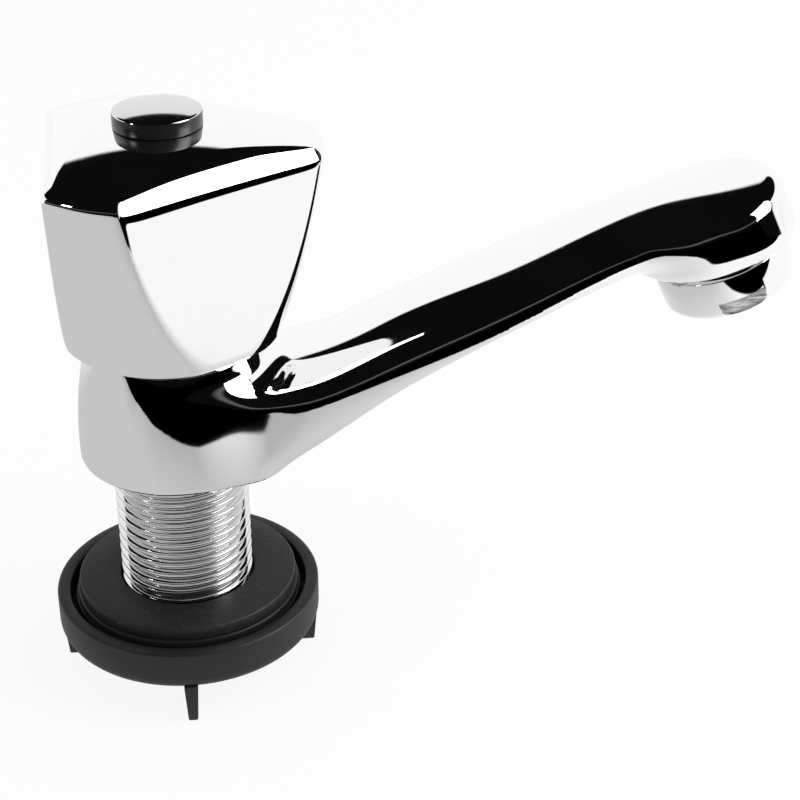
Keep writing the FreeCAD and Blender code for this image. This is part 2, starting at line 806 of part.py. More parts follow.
def aerator_housing():
    """The chromed ring that screws into the outlet, with two spanner flats."""
    body = turned("aerator_housing", [
        ("aerator_lip", "-aerator_height"),
        ("aerator_foot_radius - aerator_edge", "-aerator_height"),
        ("aerator_foot_radius", "-aerator_height + aerator_edge"),
        ("aerator_radius", "0"),
        ("aerator_thread", "0"),
        ("aerator_thread", housing_top),
        ("aerator_bore", housing_top),
        ("aerator_bore", "-aerator_height + aerator_lip_height"),
        ("aerator_lip", "-aerator_height + aerator_lip_height"),
    ], {1: "aerator_edge"})
    flats = new_sketch(body, "flats_outline", "XY_Plane", {"z": "-aerator_height"})
    outline(flats, [("-aerator_radius", "aerator_flats / 2"), ("aerator_radius", "aerator_flats / 2"),
                    ("aerator_radius", "aerator_radius + cut_past"),
                    ("-aerator_radius", "aerator_radius + cut_past")])
    flat = body.newObject("PartDesign::Pocket", "flat")
    flat.Profile = flats
    flat.Type = 0
    flat.Reversed = True
    flat.setExpression("Length", bound("aerator_flat_height"))
    doc.recompute()
    around(body, flat, 2)
    at_outlet(body)
    return body


def aerator_washer():
    body = turned("aerator_washer", ring("aerator_washer_bore", "aerator_thread", housing_top,
                                         "aerator_washer_thickness"))
    at_outlet(body)
    return body


def aerator_insert():
    """The plastic jet plate and its wall, above the two screens."""
    edge = "aerator_bore - slide_clearance"
    inside = edge + " - plate_wall"
    foot = screen_foot + " + 2 * (screen_thickness + screen_spacing)"
    body = turned("aerator_insert", [
        ("0", housing_top + " - plate_thickness"),
        (inside, housing_top + " - plate_thickness"),
        (inside, foot),
        (edge, foot),
        (edge, housing_top),
        ("0", housing_top),
    ])
    for name, circle, count in (("outer_jet", "jet_circle", 12), ("inner_jet", "inner_jet_circle", 6)):
        jet = cylinder(body, name, "jet_radius", housing_top + " - plate_thickness - cut_past",
                       "plate_thickness + 2 * cut_past", across={"x": circle})
        doc.recompute()
        around(body, jet, count)
    at_outlet(body)
    return body


def aerator_screens():
    """Two wire screens below the jets, in one node."""
    both = doc.addObject("Part::Compound", "aerator_screens")
    both.Links = [aerator_screen("lower_screen", 0), aerator_screen("upper_screen", 1)]
    return both


def aerator_screen(label, step):
    """A round wire screen, drawn as a plate with rings of holes."""
    foot = "%s + %d * (screen_thickness + screen_spacing)" % (screen_foot, step)
    body = turned(label, ring("0", "aerator_bore - slide_clearance", foot, "screen_thickness"))
    for count in range(1, 5):
        hole = cylinder(body, "%s_hole_%d" % (label, count), "screen_hole", foot + " - cut_past",
                        "screen_thickness + 2 * cut_past", across={"x": "%d * screen_ring" % count})
        doc.recompute()
        around(body, hole, 6 * count)
    at_outlet(body)
    return body


def deck_gasket():
    """The rubber washer that bears on the underside of the deck."""
    return turned("deck_gasket", [
        (tail_hole, "-gasket_top - gasket_thickness"),
        ("gasket_radius", "-gasket_top - gasket_thickness"),
        ("gasket_radius", "-gasket_top - gasket_fall"),
        (tail_hole, "-gasket_top"),
    ])


def slip_washer():
    return turned("slip_washer", ring(tail_hole, "slip_radius", nut_seat, "slip_thickness"))


def backnut():
    """The plastic nut: a cup round the gasket, a threaded hub and four fins to grip."""
    bore = "tail_radius + thread_clearance"
    groove = "%s - cup_groove" % nut_seat
    body = turned("backnut", [
        (bore, "-hub_end"),
        ("nut_hub", "-hub_end"),
        ("nut_hub", "-cup_bottom"),
        ("cup_radius - cup_edge", "-cup_bottom"),
        ("cup_radius", "-cup_bottom + cup_edge"),
        ("cup_radius", "-cup_rim"),
        ("cup_inner", "-cup_rim"),
        ("cup_inner", groove),
        ("slip_radius + loose_clearance", groove),
        ("slip_radius + loose_clearance", nut_seat),
        (bore, nut_seat),
    ], {3: "cup_edge"})
    ends = []
    for name, level, thickness, reach in (("fin_head", "-cup_bottom + fin_bite", "fin_root", "fin_reach"),
                                          ("fin_foot", "-nut_bottom", "fin_end", "fin_reach - fin_lean")):
        end = new_sketch(body, name, "XY_Plane", {"z": level})
        outline(end, [("nut_hub - fin_bite", "-%s / 2" % thickness), (reach, "-%s / 2" % thickness),
                      (reach, "%s / 2" % thickness), ("nut_hub - fin_bite", "%s / 2" % thickness)])
        ends.append(end)
    fin = body.newObject("PartDesign::AdditiveLoft", "fin")
    fin.Profile = ends[0]
    fin.Sections = [ends[1]]
    doc.recompute()
    around(body, fin, 4)
    turned_about_z(body, "nut_turn")
    return body


# Levels and fits that several pieces share. From the handle's top downwards:
handle_bottom = "(body_height + handle_gap)"
handle_apex = "(handle_rim_height + handle_crown)"
web_top = "(%s - recess_depth)" % handle_apex
hub_bottom = "(%s - web_thickness - socket_depth)" % web_top
spindle_top = "(%s + socket_depth - spindle_end_gap)" % hub_bottom
gland_top = "(%s - hub_gap)" % hub_bottom
ring_levels = ["(%s - ring_depth - ring_spacing)" % gland_top, "(%s - ring_depth)" % gland_top]
ring_floor = "(spindle_shank - 2 * ring_section)"
collar_top = "(%s - shank_length)" % gland_top
collar_foot = "(%s - spindle_collar_height)" % collar_top
guide_top = "(%s - slide_clearance)" % collar_foot
# Valve and seat, upwards
flange_foot = "seat_height + seat_gap + seat_washer_thickness"
stud_end = "seat_height + seat_gap - washer_nut_height - stud_proud"
screw_end = flange_foot + " + carrier_flange_thickness + carrier_floor + valve_lift + loose_clearance"
# Outlet and tail
outlet_height = "(spout_foot + outlet_reach * tan(spout_angle) - outlet_drop)"
tail_hole = "tail_radius + loose_clearance"
housing_top = "outlet_bore_depth - aerator_washer_thickness - slide_clearance"
screen_foot = "-aerator_height + aerator_lip_height"
nut_seat = "-gasket_top - gasket_thickness - slip_thickness"

pieces = [
    tap_body(), tail(), tail_seal(),
    headwork(), headwork_washer(), spindle(), spindle_rings(), spindle_clip(),
    valve_carrier(), seat_washer(), washer_nut(),
    handle(), handle_insert(), handle_screw(), index_button(),
    aerator_housing(), aerator_washer(), aerator_insert(),
    aerator_screens(),
    deck_gasket(), slip_washer(), backnut(),
]
doc.recompute()

for item in doc.Objects:
    if "Invalid" in item.State or "Error" in item.State:
        raise RuntimeError("%s failed: %s" % (item.Label, item.State))
for piece in pieces:
    if piece.Shape.isNull() or not piece.Shape.isValid():
        raise RuntimeError(piece.Label + " has no valid shape")

os.makedirs("parts", exist_ok=True)
for piece in pieces:
    piece.Shape.exportStep("parts/%s.step" % piece.Label)
    print("%-22s %d solid(s) %9.1f mm3" % (piece.Label, len(piece.Shape.Solids), piece.Shape.Volume))
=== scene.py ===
import bpy
import bmesh
import json
import numpy as np
from math import pi, sin, cos, acos, atan2, radians, sqrt, hypot
from mathutils import Vector, Matrix

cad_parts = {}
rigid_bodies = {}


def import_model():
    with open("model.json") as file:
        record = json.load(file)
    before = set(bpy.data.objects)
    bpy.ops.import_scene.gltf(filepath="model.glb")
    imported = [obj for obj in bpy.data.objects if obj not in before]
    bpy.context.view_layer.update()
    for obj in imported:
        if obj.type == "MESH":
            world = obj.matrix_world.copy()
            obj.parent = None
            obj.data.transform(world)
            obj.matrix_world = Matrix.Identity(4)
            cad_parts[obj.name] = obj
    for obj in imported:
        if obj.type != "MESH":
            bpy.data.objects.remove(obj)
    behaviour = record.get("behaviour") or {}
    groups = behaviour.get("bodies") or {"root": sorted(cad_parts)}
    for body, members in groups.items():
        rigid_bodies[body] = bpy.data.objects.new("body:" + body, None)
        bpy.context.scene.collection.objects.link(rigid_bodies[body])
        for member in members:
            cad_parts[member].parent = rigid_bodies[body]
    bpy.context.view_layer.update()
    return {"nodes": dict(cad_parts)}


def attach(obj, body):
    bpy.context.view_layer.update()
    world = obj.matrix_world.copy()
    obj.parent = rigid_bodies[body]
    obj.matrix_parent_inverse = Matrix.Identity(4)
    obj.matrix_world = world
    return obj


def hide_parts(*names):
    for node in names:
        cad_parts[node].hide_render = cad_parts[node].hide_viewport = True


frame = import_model()
mm = 0.001
print("frame loaded:", len(frame["nodes"]), "nodes")


# A socket that Python's own operators work on

class Signal:
    def __init__(self, sheet, socket):
        self.sheet, self.socket = sheet, socket

    def maths(self, operation, *others, clamp=False):
        node = self.sheet.tree.nodes.new("ShaderNodeMath")
        node.operation = operation
        node.use_clamp = clamp
        for slot, item in zip(node.inputs, (self,) + others):
            self.sheet.feed(slot, item)
        return Signal(self.sheet, node.outputs[0])

    def __add__(self, other):
        return self.maths("ADD", other)

    def __sub__(self, other):
        return self.maths("SUBTRACT", other)

    def __rsub__(self, other):
        return self.maths("MULTIPLY_ADD", -1.0, other)

    def __mul__(self, other):
        return self.maths("MULTIPLY", other)

    def __gt__(self, other):
        return self.maths("GREATER_THAN", other)

    def __lt__(self, other):
        return self.maths("LESS_THAN", other)

    __radd__ = __add__
    __rmul__ = __mul__

    def rising(self, low, high):  # 0 below low, 1 above high
        return (self - low).maths("DIVIDE", high - low, clamp=True)


class Sheet:
    def __init__(self, owner):
        owner.use_nodes = True
        self.tree = owner.node_tree
        self.tree.nodes.clear()

    def feed(self, slot, item):
        if isinstance(item, Signal):
            self.tree.links.new(item.socket, slot)
        elif item is not None:
            slot.default_value = item

    def node(self, kind, output=0, **inputs):
        made = self.tree.nodes.new("ShaderNode" + kind)
        for key, item in inputs.items():
            self.feed(made.inputs[key.replace("_", " ")], item)
        return Signal(self, made.outputs[output]) if made.outputs else Signal(self, None)

    def place(self):
        return self.node("TexCoord", output=3)

    def axes(self, vector):
        split = self.node("SeparateXYZ", Vector=vector)
        return split, Signal(self, split.socket.node.outputs[1]), Signal(self, split.socket.node.outputs[2])

    def blend(self, factor, first, second):
        mix = self.tree.nodes.new("ShaderNodeMix")
        mix.data_type = "RGBA"
        self.feed(mix.inputs[0], factor)
        self.feed(mix.inputs[6], first)
        self.feed(mix.inputs[7], second)
        return Signal(self, mix.outputs[2])

    def surface(self, **inputs):
        shader = self.node("BsdfPrincipled", **inputs)
        self.node("OutputMaterial", Surface=shader)


def shade(value):
    return (value, value, value, 1)


def newMaterial(name):
    material = bpy.data.materials.new(name)
    return material, Sheet(material)


# Finishes. Lengths are in millimetres, and the sizes of haze, ripples, specks, grain and the like are the
# scale of a noise, so a larger number gives a finer pattern.

chrome = {"colour": 0.94, "tint": 0.01, "blueShare": 1.3, "roughness": 0.02, "haze": 0.04, "hazeSize": 60,
          "hazeFrom": 0.35, "hazeTo": 0.75, "ripple": 0.004, "rippleSize": 120,
          "speckSize": 1400, "speckFrom": 0.68, "speckTo": 0.78, "speckRoughness": 0.05}
milledFace = {"depth": 0.03, "stretch": (0.3, 1.0, 2.2), "streakSize": 1100, "streakFrom": 0.36,
              "streakTo": 0.62, "dark": 0.16, "pale": 0.74, "roughness": 0.22}
capSide = {"colour": 0.012, "roughness": 0.2}


def chromeFinish(name, flats=None, darkBelow=None, **changes):
    look = {**chrome, **changes}
    material, sheet = newMaterial(name)
    place = sheet.place()
    cloud = sheet.node("TexNoise", Vector=place, Scale=look["hazeSize"], Detail=4.0)
    fine = sheet.node("TexNoise", Vector=place, Scale=look["rippleSize"], Detail=2.0)
    specks = sheet.node("TexNoise", Vector=place, Scale=look["speckSize"], Detail=1.0)
    spots = specks.rising(look["speckFrom"], look["speckTo"])
    low, high = look["colour"] - look["tint"], look["colour"] + look["tint"]
    blue = look["colour"] + look["tint"] * look["blueShare"]
    tone = sheet.blend(cloud, shade(low), (high, high, blue, 1))
    rough = cloud.rising(look["hazeFrom"], look["hazeTo"]) * look["haze"] + look["roughness"]
    rough = rough + spots * look["speckRoughness"]
    bump = sheet.node("Bump", Height=fine, Distance=look["ripple"] * mm, Strength=1.0)
    metal = 1.0
    if flats:  # two milled faces, this far from the middle and below this height, are left brushed
        half, (reach, height, tilt), top = flats
        x, y, z = sheet.axes(place)
        lean = radians(tilt)
        above = (z - height * mm) * cos(lean) - (x - reach * mm) * sin(lean)
        off = (y.maths("ABSOLUTE") - half * mm).maths("ABSOLUTE")
        milled = (off < milledFace["depth"] * mm) * (above < top * mm)
        drawn = sheet.node("Mapping", Vector=place, Scale=milledFace["stretch"])
        streaks = sheet.node("TexNoise", Vector=drawn, Scale=milledFace["streakSize"], Detail=6.0,
                             Roughness=0.7)
        share = streaks.rising(milledFace["streakFrom"], milledFace["streakTo"])
        brushed = sheet.blend(share, shade(milledFace["dark"]), shade(milledFace["pale"]))
        tone = sheet.blend(milled, tone, brushed)
        rough = rough + milled * milledFace["roughness"]
    if darkBelow:  # black plastic under the plated top
        x, y, z = sheet.axes(place)
        metal = z > darkBelow * mm
        tone = sheet.blend(metal, shade(capSide["colour"]), tone)
        rough = rough + (1 - metal) * capSide["roughness"]
    sheet.surface(Base_Color=tone, Metallic=metal, Roughness=rough, Normal=bump)
    return material


rubber = {"dark": 0.7, "pale": 1.9, "grainSize": 900, "dustSize": 2600, "dustFrom": 0.76, "dustTo": 0.80,
          "dustColour": 0.06, "ringSpacing": 0.5, "roughness": 0.42, "roughSpread": 0.2, "grain": 0.4,
          "relief": 0.05}


def rubberFinish(name, colour=0.012, rings=0.0):
    material, sheet = newMaterial(name)
    place = sheet.place()
    x, y, z = sheet.axes(place)
    reach = (x * x + y * y).maths("SQRT")
    grain = sheet.node("TexNoise", Vector=place, Scale=rubber["grainSize"], Detail=3.0)
    dust = sheet.node("TexNoise", Vector=place, Scale=rubber["dustSize"], Detail=0.0)
    wave = (reach * (2 * pi / (rubber["ringSpacing"] * mm))).maths("SINE")
    tone = sheet.blend(grain, shade(colour * rubber["dark"]), shade(colour * rubber["pale"]))
    tone = sheet.blend(dust.rising(rubber["dustFrom"], rubber["dustTo"]), tone, shade(rubber["dustColour"]))
    rough = grain * rubber["roughSpread"] + rubber["roughness"]
    height = grain * rubber["grain"] + wave * rings
    bump = sheet.node("Bump", Height=height, Distance=rubber["relief"] * mm, Strength=0.6)
    sheet.surface(Base_Color=tone, Roughness=rough, Normal=bump)
    return material


plastic = {"dark": 0.82, "pale": 1.15, "cloudSize": 90, "roughSpread": 0.16, "relief": 0.03}


def plasticFinish(name, colour, roughness, grainSize=1200):  # roughness is that of its smoothest patches
    material, sheet = newMaterial(name)
    place = sheet.place()
    grain = sheet.node("TexNoise", Vector=place, Scale=grainSize, Detail=3.0)
    cloud = sheet.node("TexNoise", Vector=place, Scale=plastic["cloudSize"], Detail=3.0)
    low = tuple(part * plastic["dark"] for part in colour) + (1,)
    high = tuple(min(1, part * plastic["pale"]) for part in colour) + (1,)
    tone = sheet.blend(cloud, low, high)
    rough = cloud * plastic["roughSpread"] + roughness
    bump = sheet.node("Bump", Height=grain, Distance=plastic["relief"] * mm, Strength=0.5)
    sheet.surface(Base_Color=tone, Roughness=rough, Normal=bump)
    return material


machined = {"dark": 0.78, "cloudSize": 220, "roughSpread": 0.14, "toolSpacing": 0.35, "toolMarks": 0.5,
            "relief": 0.01}


def machinedFinish(name, colour, roughness):
    material, sheet = newMaterial(name)
    place = sheet.place()
    x, y, z = sheet.axes(place)
    reach = (x * x + y * y).maths("SQRT")
    turning = ((reach + z) * (2 * pi / (machined["toolSpacing"] * mm))).maths("SINE")
    cloud = sheet.node("TexNoise", Vector=place, Scale=machined["cloudSize"], Detail=4.0)
    low = tuple(part * machined["dark"] for part in colour) + (1,)
    tone = sheet.blend(cloud, low, (*colour, 1))
    rough = cloud * machined["roughSpread"] + roughness
    height = turning * machined["toolMarks"] + cloud
    bump = sheet.node("Bump", Height=height, Distance=machined["relief"] * mm, Strength=0.6)
    sheet.surface(Base_Color=tone, Metallic=1.0, Roughness=rough, Normal=bump)
    return material


polishedChrome = chromeFinish("polishedChrome")
platedThread = chromeFinish("platedThread", colour=0.80, roughness=0.05, haze=0.10, hazeSize=500,
                            ripple=0.006, rippleSize=900)
machinedBrass = machinedFinish("machinedBrass", (0.72, 0.50, 0.22), roughness=0.19)
brightSteel = machinedFinish("brightSteel", (0.60, 0.60, 0.61), roughness=0.15)
blackRubber = rubberFinish("blackRubber")
gasketRubber = rubberFinish("gasketRubber", colour=0.010, rings=0.3)
blackPlastic = plasticFinish("blackPlastic", (0.014, 0.014, 0.015), roughness=0.37)
whitePlastic = plasticFinish("whitePlastic", (0.80, 0.80, 0.77), roughness=0.27)
redFibre = plasticFinish("redFibre", (0.42, 0.13, 0.07), roughness=0.62, grainSize=2500)
print("finishes ready")


# Pieces taken over from the frame as they are: seals, valve and the inner parts of handle and aerator

cadFinishes = {
    "tail_seal": blackRubber, "headwork": machinedBrass, "headwork_washer": redFibre,
    "spindle": machinedBrass, "spindle_rings": blackRubber, "spindle_clip": brightSteel,
    "valve_carrier": machinedBrass, "seat_washer": blackRubber, "washer_nut": machinedBrass,
    "handle_insert": whitePlastic, "handle_screw": brightSteel,
    "aerator_washer": blackRubber, "aerator_insert": whitePlastic, "aerator_screens": brightSteel,
}
for node, finish in cadFinishes.items():
    for slot in frame["nodes"][node].material_slots:
        slot.material = finish


# Modelling helpers

def asPiece(name, bm, body, replaced, finish, smooth=40):
    bmesh.ops.remove_doubles(bm, verts=bm.verts, dist=0.002 * mm)
    bmesh.ops.recalc_face_normals(bm, faces=bm.faces)
    mesh = bpy.data.meshes.new(name)
    bm.to_mesh(mesh)
    bm.free()
    piece = bpy.data.objects.new(name, mesh)
    bpy.context.scene.collection.objects.link(piece)
    mesh.materials.append(finish)
    mesh.shade_smooth()
    mesh.set_sharp_from_angle(angle=radians(smooth))
    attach(piece, body)
    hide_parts(*replaced)
    return piece


def lathe(profile, steps=128):
    bm = bmesh.new()
    verts = [bm.verts.new((r * mm, 0, z * mm)) for r, z in profile]
    edges = [bm.edges.new(pair) for pair in zip(verts, verts[1:])]
    bmesh.ops.spin(bm, geom=verts + edges, cent=(0, 0, 0), axis=(0, 0, 1), angle=2 * pi, steps=steps,
                   use_merge=True)
    bmesh.ops.remove_doubles(bm, verts=bm.verts, dist=0.001 * mm)
    bmesh.ops.recalc_face_normals(bm, faces=bm.faces)
    return bm


def roundRings(bm, rounds, segments=3):  # rounds gives radius and height of a turned edge, and its size
    near = 0.02 * mm
    for (r, z), size in rounds.items():
        ring = {v for v in bm.verts
                if abs(hypot(v.co.x, v.co.y) - r * mm) < near and abs(v.co.z - z * mm) < near}
        edges = [edge for edge in bm.edges if all(v in ring for v in edge.verts)]
        bmesh.ops.bevel(bm, geom=edges, offset=size * mm, affect="EDGES", segments=segments, profile=0.5,
                        material=-1)
    return bm


def turned(bm, degrees):
    bmesh.ops.rotate(bm, cent=(0, 0, 0), matrix=Matrix.Rotation(radians(degrees), 3, "Z"), verts=bm.verts)
    return bm


def merged(parts):
    whole = bmesh.new()
    for part in parts:
        mesh = bpy.data.meshes.new("part")
        part.to_mesh(mesh)
        part.free()
        whole.from_mesh(mesh)
        bpy.data.meshes.remove(mesh)
    return whole


def carved(bm, operation, *tools):
    base = looseObject("carvedBase", bm)
    for tool in tools:
        cutter = looseObject("carvingTool", tool)
        modifier = base.modifiers.new("carve", "BOOLEAN")
        modifier.operation = operation
        modifier.solver = "EXACT"
        modifier.object = cutter
    return collected(base)


def looseObject(name, bm):
    bmesh.ops.recalc_face_normals(bm, faces=bm.faces)
    mesh = bpy.data.meshes.new(name)
    bm.to_mesh(mesh)
    bm.free()
    loose = bpy.data.objects.new(name, mesh)
    bpy.context.scene.collection.objects.link(loose)
    return loose


def collected(base):
    graph = bpy.context.evaluated_depsgraph_get()
    result = bmesh.new()
    result.from_mesh(base.evaluated_get(graph).to_mesh())
    tools = [modifier.object for modifier in base.modifiers if modifier.type == "BOOLEAN"]
    for spent in [base] + tools:
        mesh = spent.data
        bpy.data.objects.remove(spent)
        bpy.data.meshes.remove(mesh)
    return result


def tilted(bm, reach, height, tilt):
    matrix = Matrix.Translation((reach * mm, 0, height * mm)) @ Matrix.Rotation(radians(-tilt), 4, "Y")
    bmesh.ops.transform(bm, matrix=matrix, verts=bm.verts)
    return bm


# Tap body: barrel, spout and outlet run into one form. Sizes in millimetres.

body = {
    "baseRadius": 15.2, "collarRadius": 13.0, "height": 19.4, "bulgeRadius": 66.0, "baseEdge": 0.9,
    # station along the spout, middle of the section, half width, rise, drop, upper and lower squareness.
    # distanceShare keeps the ovals' field a little short of a true distance.
    "sections": [(-2.0, 8.5, 14.8, 4.3, 18.0, 2.4, 2.6), (7.0, 9.5, 17.15, 4.3, 18.4, 2.5, 3.0),
                 (14.0, 10.6, 15.2, 4.3, 13.9, 2.3, 2.3), (21.0, 12.1, 12.9, 4.65, 10.7, 2.1, 2.2),
                 (32.0, 15.85, 12.0, 5.7, 6.7, 2.2, 2.0), (48.0, 22.3, 11.85, 5.7, 2.2, 2.65, 2.2),
                 (66.0, 31.15, 10.25, 4.3, 4.3, 2.6, 2.2), (74.0, 34.2, 10.6, 3.8, 3.8, 2.4, 2.4),
                 (84.0, 37.0, 13.3, 3.3, 3.4, 2.4, 2.4), (97.0, 40.3, 14.0, 3.3, 3.4, 2.4, 2.4)],
    "distanceShare": 0.92, "draftRings": 24, "draftSides": 48, "draftEnd": 80.0, "draftTop": 9.7,
    "outletReach": 83.5, "outletHeight": 29.7, "outletTilt": 21.3,
    "tipRadius": 12.2, "tipTaper": 0.08, "tipMiddle": 5.0, "tipGap": 0.5, "tipEdge": 2.0, "tipLip": 3.2,
    "bossTop": 6.5, "bossEdge": 1.0, "barrelBlend": 4.0, "tipBlend": 4.5, "collarEdge": 0.4,
    "voxel": 0.45, "rounds": 4, "quickVoxel": 0.8,
    "chamber": 10.46, "floor": 4.0, "neck": 8.45, "recess": 10.578, "recessDepth": 0.6,
    "bore": 9.48, "boreDepth": 6.8, "throat": 7.0, "throatDepth": 8.2,
}
outletPlace = (body["outletReach"], body["outletHeight"], body["outletTilt"])


def splineThrough(stations, values):  # natural cubic, without curvature at its ends
    stations, values = np.array(stations), np.array(values)
    gaps, rises = np.diff(stations), np.diff(values)
    count = len(stations)
    left, right = np.eye(count), np.zeros(count)
    for k in range(1, count - 1):
        left[k, k - 1:k + 2] = gaps[k - 1], 2 * (gaps[k - 1] + gaps[k]), gaps[k]
        right[k] = 6 * (rises[k] / gaps[k] - rises[k - 1] / gaps[k - 1])
    bend = np.linalg.solve(left, right)

    def at(x):
        k = np.clip(np.searchsorted(stations, x) - 1, 0, count - 2)
        ahead, past, gap = stations[k + 1] - x, x - stations[k], gaps[k]
        curved = (bend[k] * ahead ** 3 + bend[k + 1] * past ** 3) / (6 * gap)
        straight = (values[k] / gap - bend[k] * gap / 6) * ahead
        return curved + straight + (values[k + 1] / gap - bend[k + 1] * gap / 6) * past

    return at


def softLess(a, b, size):  # the lesser of two, run together over a size
    share = np.clip(size - np.abs(a - b), 0, None) / size
    return np.minimum(a, b) - share * share * size / 4


def softMore(a, b, size):
    return -softLess(-a, -b, size)


def barrelField(b, x, y, z):
    foot, top = np.array((b["baseRadius"], 0.0)), np.array((b["collarRadius"], b["height"]))
    way = top - foot
    length = hypot(*way)
    out = np.array((way[1], -way[0])) / length
    middle = (foot + top) / 2 - out * sqrt(b["bulgeRadius"] ** 2 - length ** 2 / 4)
    side = np.hypot(np.hypot(x, y) - middle[0], z - middle[1]) - b["bulgeRadius"]
    return softMore(side, z - b["height"], b["collarEdge"])


def ovalField(across, up, width, rise, drop, upPower, lowPower):  # rounder or squarer above and below
    above, tiny = up > 0, 1e-6
    lift, power = np.where(above, rise, drop), np.where(above, upPower, lowPower)
    out, high = np.abs(across) / width + tiny, np.abs(up) / lift + tiny
    size = (out ** power + high ** power) ** (1 / power)
    slope = np.hypot((out / size) ** (power - 1) / width, (high / size) ** (power - 1) / lift)
    return (size - 1) / slope


def sectionCurves(b):
    stations = [section[0] for section in b["sections"]]
    return [splineThrough(stations, [section[k] for section in b["sections"]]) for k in range(1, 7)]


def spoutField(b, x, y, z):
    first, last = b["sections"][0][0], b["sections"][-1][0]
    held = np.clip(x, first, last)
    middle, *shape = [curve(held) for curve in sectionCurves(b)]
    return np.maximum(ovalField(y, z - middle, *shape) * b["distanceShare"], first - x)


def leaned(b, x, z):  # along the outlet's own plane, and height above it
    lean = radians(b["outletTilt"])
    along, rise = x - b["outletReach"], z - b["outletHeight"]
    return along * cos(lean) + rise * sin(lean), rise * cos(lean) - along * sin(lean)


def armField(b, x, y, z):
    along, height = leaned(b, x, z)
    radius = b["tipRadius"] - (height - b["tipMiddle"]) * b["tipTaper"]
    boss = softMore(np.hypot(np.minimum(along, 0), y) - radius, height - b["bossTop"], b["bossEdge"])
    boss = softMore(boss, b["tipGap"] - height, b["tipLip"])
    joined = softLess(spoutField(b, x, y, z), boss, b["tipBlend"])
    return softMore(joined, np.hypot(np.maximum(along, 0), y) - radius, b["tipEdge"])


def bodyField(b, x, y, z):
    whole = softLess(barrelField(b, x, y, z), armField(b, x, y, z), b["barrelBlend"])
    return softMore(whole, -z, b["baseEdge"])


def settle(bm, field, steps=4):  # move every vertex onto the form's own surface
    places = np.array([v.co for v in bm.verts]) / mm
    nudge, leastSlope, longest = 0.02, 0.05, 1.5
    for step in range(steps):
        x, y, z = places.T
        off = field(x, y, z)
        slope = np.stack([field(x + nudge, y, z) - field(x - nudge, y, z),
                          field(x, y + nudge, z) - field(x, y - nudge, z),
                          field(x, y, z + nudge) - field(x, y, z - nudge)], axis=1) / (2 * nudge)
        steep = np.maximum((slope ** 2).sum(axis=1), leastSlope)
        places -= slope * np.clip(off / steep, -longest, longest)[:, None]
    for v, place in zip(bm.verts, places):
        v.co = place * mm


def spoutDraft(b):
    start, curves = b["sections"][0][0], sectionCurves(b)[:4]
    bm = bmesh.new()
    loops = []
    for ring in range(b["draftRings"] + 1):
        x = start + (b["draftEnd"] - start) * ring / b["draftRings"]
        middle, width, rise, drop = [float(curve(x)) for curve in curves]
        atEnd = ring in (0, b["draftRings"])
        made = bmesh.ops.create_circle(bm, cap_ends=atEnd, segments=b["draftSides"], radius=1)
        for v in made["verts"]:
            lift = v.co.y * (rise if v.co.y > 0 else drop)
            v.co = Vector((x, v.co.x * width, middle + lift)) * mm
        mine = set(made["verts"])
        loops.append([edge for edge in bm.edges if all(v in mine for v in edge.verts)])
    for loop, following in zip(loops, loops[1:]):
        bmesh.ops.bridge_loops(bm, edges=loop + following)
    bmesh.ops.recalc_face_normals(bm, faces=bm.faces)
    return bm


def bodyForm(b):
    barrel = lathe([(0, 0), (b["baseRadius"], 0), (b["collarRadius"], b["height"]), (0, b["height"])], 96)
    tip = lathe([(0, b["tipGap"]), (b["tipRadius"], b["tipGap"]), (b["tipRadius"], b["draftTop"] - 1),
                 (0, b["draftTop"])], 96)
    tip = tilted(tip, *outletPlace)
    spout = spoutDraft(b)
    bmesh.ops.bisect_plane(spout, geom=spout.verts[:] + spout.edges[:] + spout.faces[:], plane_co=(0, 0, 0),
                           plane_no=(0, 0, -1), clear_outer=True)
    bmesh.ops.holes_fill(spout, edges=[edge for edge in spout.edges if edge.is_boundary])
    whole = looseObject("bodyDraft", merged([barrel, spout, tip]))
    remesh = whole.modifiers.new("run together", "REMESH")
    remesh.mode = "VOXEL"
    remesh.voxel_size = b["voxel"] * mm
    bm = collected(whole)

    def field(x, y, z):
        return bodyField(b, x, y, z)

    for turn in range(b["rounds"]):
        settle(bm, field)
        bmesh.ops.smooth_vert(bm, verts=bm.verts, factor=0.5, use_axis_x=True, use_axis_y=True,
                              use_axis_z=True)
    settle(bm, field, steps=6)
    return bm


def bodyHollows(b):  # each starts and ends 1 mm outside the metal
    top = b["height"] + 1
    chamber = lathe([(0, -1), (b["recess"], -1), (b["recess"], b["recessDepth"]),
                     (b["neck"], b["recessDepth"]), (b["neck"], b["floor"]), (b["chamber"], b["floor"]),
                     (b["chamber"], top), (0, top)], 96)
    outlet = lathe([(0, -1), (b["bore"], -1), (b["bore"], b["boreDepth"]), (b["throat"], b["boreDepth"]),
                    (b["throat"], b["throatDepth"]), (0, b["throatDepth"])], 96)
    return chamber, tilted(outlet, *outletPlace)


def bodyPiece(b):
    return carved(bodyForm(b), "DIFFERENCE", *bodyHollows(b))


tapShell = asPiece("tapShell", bodyPiece(body), "tap", ["tap_body"], polishedChrome)
print("tap body:", len(tapShell.data.polygons), "faces")


# Handle: a flared round form drawn in to three flat faces, its top edge rolled over

